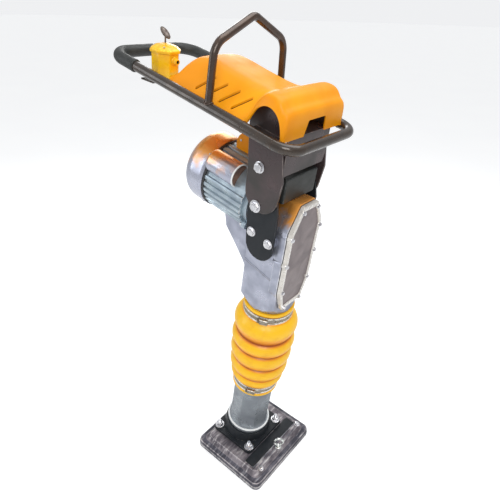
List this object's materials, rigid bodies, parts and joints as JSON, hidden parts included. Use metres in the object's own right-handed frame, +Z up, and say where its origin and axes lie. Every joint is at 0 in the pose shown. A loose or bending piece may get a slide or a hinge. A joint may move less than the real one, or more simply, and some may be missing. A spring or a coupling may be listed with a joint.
{
  "type": "jumping jack rammer",
  "caption": "Upright electric soil rammer: a flat steel foot on a bellows-sealed spring leg, a geared crank in a crankcase, a finned motor behind, a tube handle with hood and switch.",
  "frame": {"origin": "centre of the foot's sole, on the ground", "axes": "+Z up, +X the way the machine travels, +Y the operator's left; the leg leans forward from +Z by 6.8 degrees about Y"},
  "size_m": [0.5558, 0.287, 1.2765],
  "materials": {
    "sole_steel": "worn, scratched",
    "shoe_iron": "worn cast surface with bright edges",
    "black_paint": "semi-gloss",
    "plate_paint": "semi-gloss brown-grey",
    "tube_paint": "gloss, fine texture",
    "hoop_paint": "gloss dark bronze",
    "hood_orange": "semi-gloss orange",
    "switch_yellow": "moulded",
    "bellows_yellow": "satin moulded polyurethane",
    "cast_aluminium": "satin casting",
    "motor_aluminium": "silver paint on casting",
    "motor_cover_paint": "gloss silver",
    "cover_paint": "satin taupe",
    "plated_steel": "zinc plate",
    "chrome_steel": "bright",
    "band_steel": "rolled band",
    "machined_steel": "ground",
    "forged_steel": "forged and machined",
    "spring_steel": "oiled",
    "bearing_steel": "ground",
    "lamination_steel": "stacked sheets",
    "bronze": "machined",
    "lever_metal": "satin",
    "fan_plastic": "moulded",
    "black_rubber": "moulded",
    "cable_rubber": "smooth"
  },
  "bodies": {
    "foot": {"wear_plate": "sole_steel", "shoe_body": "shoe_iron", "leg_flange": "black_paint", "flange_bolt_1": "plated_steel", "flange_bolt_2": "plated_steel", "flange_bolt_3": "plated_steel", "flange_bolt_4": "plated_steel", "eye_bolt": "chrome_steel", "leg_tube": "cast_aluminium", "lower_clamp": "band_steel", "bellows": "bellows_yellow", "spring_cylinder": "machined_steel", "spring_cap": "bronze", "lower_spring": "spring_steel", "upper_spring": "spring_steel"},
    "crankcase": {"crankcase": "cast_aluminium", "crankcase_cover": "cover_paint", "guide_tube": "machined_steel", "upper_clamp": "band_steel", "lower_plate_near": "black_paint", "lower_plate_far": "black_paint", "plate_bolt_rear_near": "plated_steel", "plate_bolt_front_near": "plated_steel", "plate_bolt_rear_far": "plated_steel", "plate_bolt_front_far": "plated_steel", "crank_bearing": "bearing_steel", "motor_flange": "motor_aluminium", "motor_housing": "motor_aluminium", "stator_core": "lamination_steel", "motor_bearing": "bearing_steel", "fan_cover": "motor_cover_paint", "capacitor_cover": "motor_cover_paint", "terminal_box": "hood_orange", "motor_support": "cast_aluminium", "buffer_block": "black_rubber"},
    "plunger": {"plunger_rod": "machined_steel", "piston": "bronze", "wrist_pin": "machined_steel"},
    "connecting_rod": {"connecting_rod": "forged_steel"},
    "crank": {"crank_gear": "forged_steel"},
    "rotor": {"pinion": "machined_steel", "motor_shaft": "machined_steel", "rotor_core": "lamination_steel", "fan": "fan_plastic"},
    "handle": {"handle_tube": "tube_paint", "grip_sleeve": "black_rubber", "lifting_hoop": "hoop_paint", "hood": "hood_orange", "upper_plate_near": "plate_paint", "upper_plate_far": "plate_paint", "pivot_bolt_near": "plated_steel", "pivot_bolt_far": "plated_steel", "bracket_bolt": "plated_steel", "cross_channel": "plate_paint", "switch_box": "switch_yellow", "switch_lid": "switch_yellow", "power_inlet": "switch_yellow", "switch_bracket": "tube_paint", "power_cable": "cable_rubber"},
    "switch_lever": {"switch_lever": "lever_metal"}
  },
  "joints": [
    {"name": "jump_slide", "type": "slide", "parent": "foot", "child": "crankcase", "axis": [0.1177, 0, 0.993], "range_m": [0, 0.05], "deforming": ["bellows", "lower_spring", "upper_spring"]},
    {"name": "plunger_slide", "type": "slide", "parent": "crankcase", "child": "plunger", "axis": [0.1177, 0, 0.993], "range_m": [0, 0.036]},
    {"name": "rod_swing", "type": "hinge", "parent": "plunger", "child": "connecting_rod", "pos_m": [0.04261, 0, 0.69513], "axis": [0.993, 0, -0.1177], "range_deg": [-10, 10]},
    {"name": "crank_spin", "type": "hinge", "parent": "crankcase", "child": "crank", "pos_m": [0.05685, 0, 0.81529], "axis": [-0.9752, 0, 0.2212], "continuous": true},
    {"name": "rotor_spin", "type": "hinge", "parent": "crankcase", "child": "rotor", "pos_m": [0.07012, 0, 0.87381], "axis": [-0.9752, 0, 0.2212], "continuous": true},
    {"name": "handle_rock", "type": "hinge", "parent": "crankcase", "child": "handle", "pos_m": [0.04017, 0, 0.90387], "axis": [0, 1, 0], "range_deg": [-2.5, 2.5], "stiffness_Nm_per_rad": 2000},
    {"name": "switch_turn", "type": "hinge", "parent": "handle", "child": "switch_lever", "pos_m": [-0.26949, -0.055, 1.15573], "axis": [0.1177, 0, 0.993], "range_deg": [0, 90]}
  ],
  "couplings": [
    {"joint": "rotor_spin", "follows": "crank_spin", "ratio": -3.6154}
  ]
}
